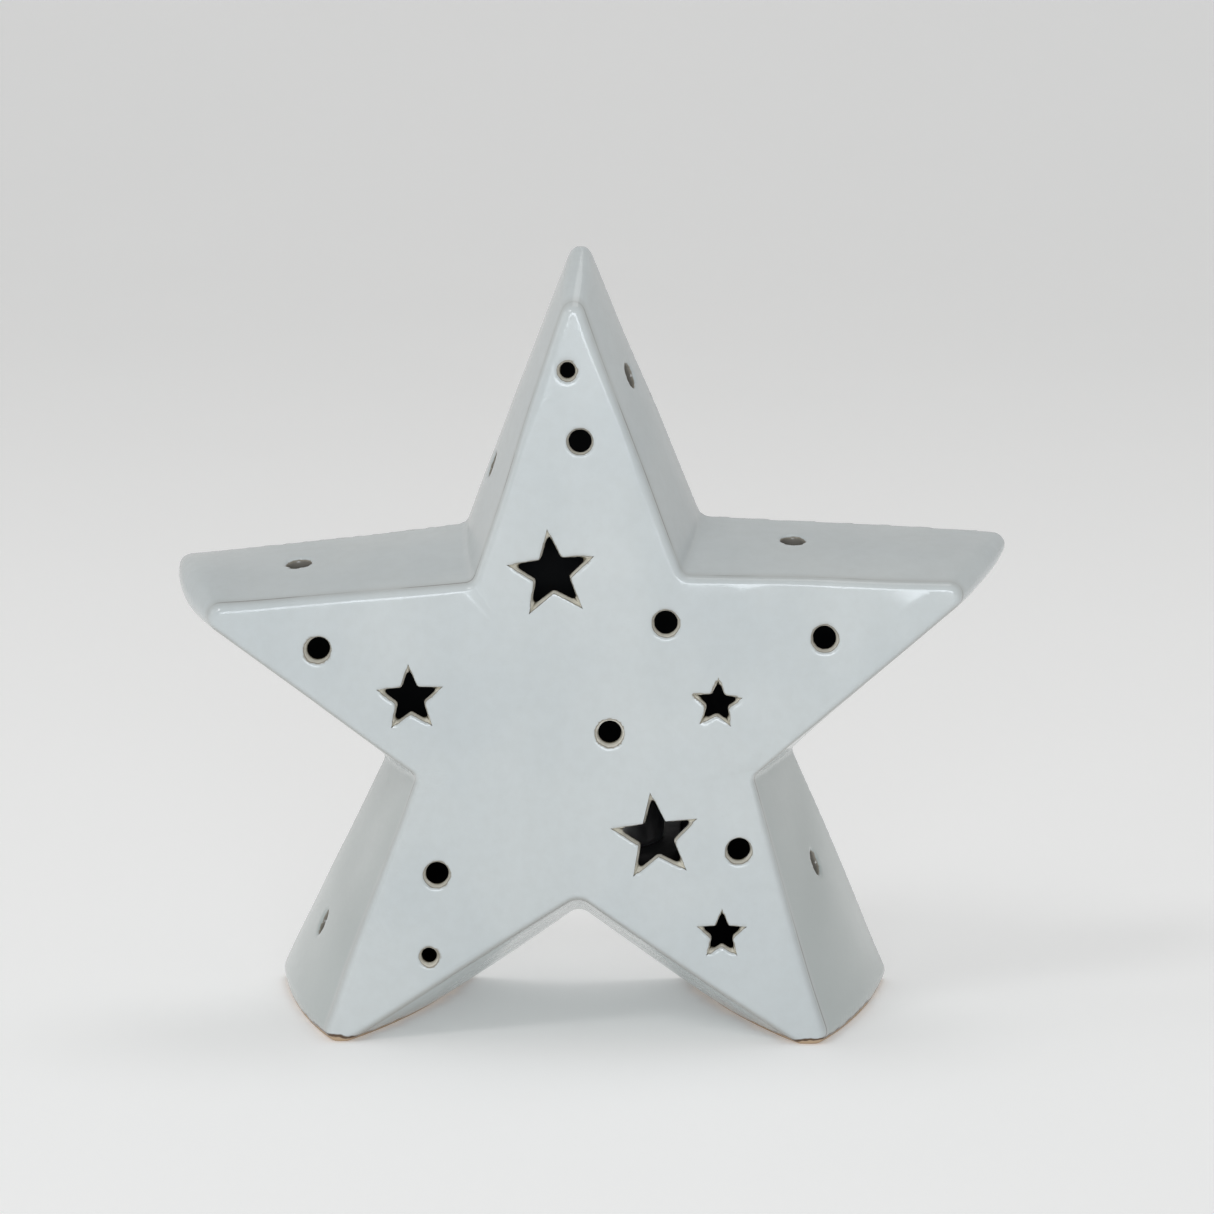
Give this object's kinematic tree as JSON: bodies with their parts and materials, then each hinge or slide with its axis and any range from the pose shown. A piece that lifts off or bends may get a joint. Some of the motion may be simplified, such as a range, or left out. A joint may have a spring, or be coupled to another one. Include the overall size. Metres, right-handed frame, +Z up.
{
  "type": "tealight holder",
  "caption": "Hollow five-pointed glazed ceramic star with round and star-shaped holes, standing on two points, with a rear doorway and an inner shelf for a tealight.",
  "frame": {"origin": "on the ground, under the middle of the star's bounding box", "axes": "+Z up, the pierced face looks along -Y, +X to the right of someone looking at the face"},
  "size_m": [0.2102, 0.0708, 0.1975],
  "materials": {
    "white_glaze": "glossy white glaze over buff clay, breaking to tan on sharp edges",
    "shelf_clay": "matt unglazed clay, darkened by soot",
    "cup_foil": "thin pressed foil, bright",
    "candle_wax": "white paraffin wax, slightly translucent",
    "tinplate": "pressed tinplate",
    "wick_cotton": "braided cotton, waxed"
  },
  "bodies": {
    "holder": {"star_shell": "white_glaze", "back_plate": "white_glaze", "tealight_shelf": "shelf_clay"},
    "tealight": {"tealight_cup": "cup_foil", "tealight_wax": "candle_wax", "wick_sustainer": "tinplate", "tealight_wick": "wick_cotton"}
  },
  "joints": [
    {"name": "tealight_slide", "type": "slide", "parent": "holder", "child": "tealight", "axis": [0, 1, 0], "range_m": [0, 0.08]}
  ]
}
